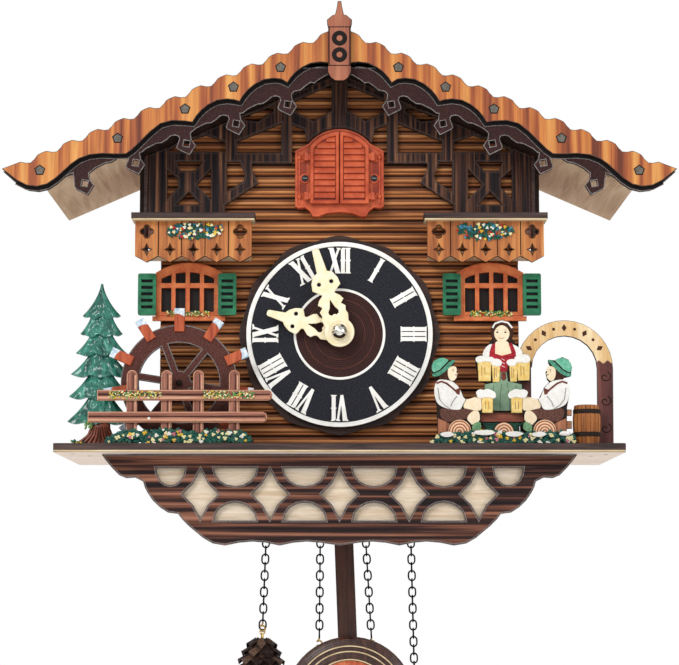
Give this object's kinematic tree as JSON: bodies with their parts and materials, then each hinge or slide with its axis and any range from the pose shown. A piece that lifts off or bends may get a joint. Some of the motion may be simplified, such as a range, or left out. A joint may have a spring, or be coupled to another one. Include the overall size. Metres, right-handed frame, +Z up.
{
  "type": "cuckoo clock",
  "caption": "Chalet cuckoo clock: gabled log house on a pierced apron, with dial, bird door, balconies, mill wheel, beer-garden group, pendulum and cone weights on chains.",
  "frame": {"origin": "axis of the wall nail in the keyhole slot of the back panel, on the wall face", "axes": "+Z up, +Y into the wall, +X to the right as the dial is read"},
  "size_m": [0.3444, 0.12, 0.4476],
  "materials": {
    "back_panel": "thin plywood, unfinished",
    "front_wall": "ribbed log siding, stained, satin",
    "side_l": "dark veneered plywood",
    "side_r": "dark veneered plywood",
    "roof_l": "plain plywood",
    "roof_r": "plain plywood",
    "platform": "plywood, dark veneer on top and edge",
    "apron": "striped dark veneer, laser cut",
    "apron_backing": "pale plywood",
    "shingles_l": "vertical grained veneer, satin",
    "shingles_r": "vertical grained veneer, satin",
    "fascia_l": "dark stained plywood, laser-cut edges",
    "fascia_r": "dark stained plywood, laser-cut edges",
    "finial": "stained plywood with engraved rings",
    "gable": "striped dark veneer, laser cut",
    "balcony_l": "mottled brown pickets, dark rail",
    "balcony_r": "mottled brown pickets, dark rail",
    "window_l": "orange stained frame",
    "window_r": "orange stained frame",
    "shutter_l_outer": "green paint",
    "shutter_l_inner": "green paint",
    "shutter_r_outer": "green paint",
    "shutter_r_inner": "green paint",
    "dial_backing": "dark stained plywood, lobed edge",
    "dial": "black with ivory numerals and rings, turned brown centre",
    "hour_hand": "ivory, pierced",
    "minute_hand": "ivory, pierced",
    "hand_nut": "polished",
    "arbor": "turned",
    "door_frame": "moulded, satin",
    "door_l": "moulded, satin",
    "door_r": "moulded, satin",
    "cuckoo": "painted",
    "cuckoo_carriage": "moulded",
    "movement": "moulded, fine texture",
    "battery_holder": "moulded",
    "cell_1": "printed sleeve, bright cap",
    "cell_2": "printed sleeve, bright cap",
    "speaker": "paper cone in a black basket",
    "wheel_motor": "moulded gear case",
    "pendulum_rod": "dark stained lath",
    "bob": "turned, satin",
    "bob_inlay": "turned, satin",
    "chain_1": "blackened wire links",
    "chain_2": "blackened wire links",
    "chain_3": "blackened wire links",
    "chain_4": "blackened wire links",
    "cone_l": "scaled like a pine cone",
    "cone_r": "scaled like a pine cone",
    "tree": "moulded, glossy green, brown foot",
    "wheel": "speckled brown ring, red-brown paddles with pale tips",
    "fence": "grooved, stained",
    "bed_l": "painted leaves and flowers",
    "bed_r": "painted leaves and flowers",
    "arch": "pale arch on a dark red-brown post",
    "barrel": "turned, dark hoops",
    "table": "painted",
    "waitress": "painted cut-out",
    "man_l": "painted cut-out",
    "man_r": "painted cut-out"
  },
  "bodies": {
    "case": {"back_panel": "back_panel", "front_wall": "front_wall", "side_l": "side_l", "side_r": "side_r", "roof_l": "roof_l", "roof_r": "roof_r", "platform": "platform", "apron": "apron", "apron_backing": "apron_backing", "shingles_l": "shingles_l", "shingles_r": "shingles_r", "fascia_l": "fascia_l", "fascia_r": "fascia_r", "finial": "finial", "gable": "gable", "balcony_l": "balcony_l", "balcony_r": "balcony_r", "window_l": "window_l", "window_r": "window_r", "shutter_l_outer": "shutter_l_outer", "shutter_l_inner": "shutter_l_inner", "shutter_r_outer": "shutter_r_outer", "shutter_r_inner": "shutter_r_inner", "dial_backing": "dial_backing", "dial": "dial", "door_frame": "door_frame", "movement": "movement", "battery_holder": "battery_holder", "cell_1": "cell_1", "cell_2": "cell_2", "speaker": "speaker", "wheel_motor": "wheel_motor", "tree": "tree", "fence": "fence", "bed_l": "bed_l", "bed_r": "bed_r", "arch": "arch", "barrel": "barrel", "table": "table", "waitress": "waitress", "man_l": "man_l", "man_r": "man_r"},
    "minute_train": {"minute_hand": "minute_hand", "hand_nut": "hand_nut", "arbor": "arbor"},
    "hour_train": {"hour_hand": "hour_hand"},
    "pendulum": {"pendulum_rod": "pendulum_rod", "bob": "bob", "bob_inlay": "bob_inlay"},
    "mill": {"wheel": "wheel"},
    "bird": {"cuckoo": "cuckoo", "cuckoo_carriage": "cuckoo_carriage"},
    "leaf_l": {"door_l": "door_l"},
    "leaf_r": {"door_r": "door_r"},
    "strand_1": {"chain_1": "chain_1", "cone_l": "cone_l"},
    "strand_2": {"chain_2": "chain_2"},
    "strand_3": {"chain_3": "chain_3"},
    "strand_4": {"chain_4": "chain_4", "cone_r": "cone_r"}
  },
  "joints": [
    {"name": "minute_turn", "type": "hinge", "parent": "case", "child": "minute_train", "pos_m": [0, -0.035, -0.1256], "axis": [0, 1, 0], "continuous": true},
    {"name": "hour_turn", "type": "hinge", "parent": "case", "child": "hour_train", "pos_m": [0, -0.0912, -0.1256], "axis": [0, 1, 0], "continuous": true},
    {"name": "pendulum_swing", "type": "hinge", "parent": "case", "child": "pendulum", "pos_m": [0, -0.05, -0.1725], "axis": [0, 1, 0], "range_deg": [-2.8, 7.2]},
    {"name": "mill_turn", "type": "hinge", "parent": "case", "child": "mill", "pos_m": [-0.0821, -0.096, -0.1521], "axis": [0, 1, 0], "continuous": true},
    {"name": "bird_slide", "type": "slide", "parent": "case", "child": "bird", "axis": [0, -1, 0], "range_m": [0, 0.02]},
    {"name": "leaf_l_hinge", "type": "hinge", "parent": "case", "child": "leaf_l", "pos_m": [-0.0174, -0.0853, -0.042], "axis": [0, 0, -1], "range_deg": [0, 100]},
    {"name": "leaf_r_hinge", "type": "hinge", "parent": "case", "child": "leaf_r", "pos_m": [0.0174, -0.0853, -0.042], "axis": [0, 0, 1], "range_deg": [0, 100]},
    {"name": "strand_1_swing", "type": "hinge", "parent": "case", "child": "strand_1", "pos_m": [-0.038, -0.025, -0.1866], "axis": [0, 1, 0], "range_deg": [-7.1, 2.9]},
    {"name": "strand_2_swing", "type": "hinge", "parent": "case", "child": "strand_2", "pos_m": [-0.01, -0.025, -0.1866], "axis": [0, 1, 0], "range_deg": [-5.5, 4.5]},
    {"name": "strand_3_swing", "type": "hinge", "parent": "case", "child": "strand_3", "pos_m": [0.0116, -0.025, -0.1866], "axis": [0, 1, 0], "range_deg": [-1.7, 8.3]},
    {"name": "strand_4_swing", "type": "hinge", "parent": "case", "child": "strand_4", "pos_m": [0.0375, -0.025, -0.1866], "axis": [0, 1, 0], "range_deg": [-3.7, 6.3]}
  ],
  "couplings": [
    {"joint": "hour_turn", "follows": "minute_turn", "ratio": 0.083333},
    {"joint": "leaf_l_hinge", "follows": "bird_slide", "rad_per_m": 87.2},
    {"joint": "leaf_r_hinge", "follows": "bird_slide", "rad_per_m": 87.2}
  ]
}
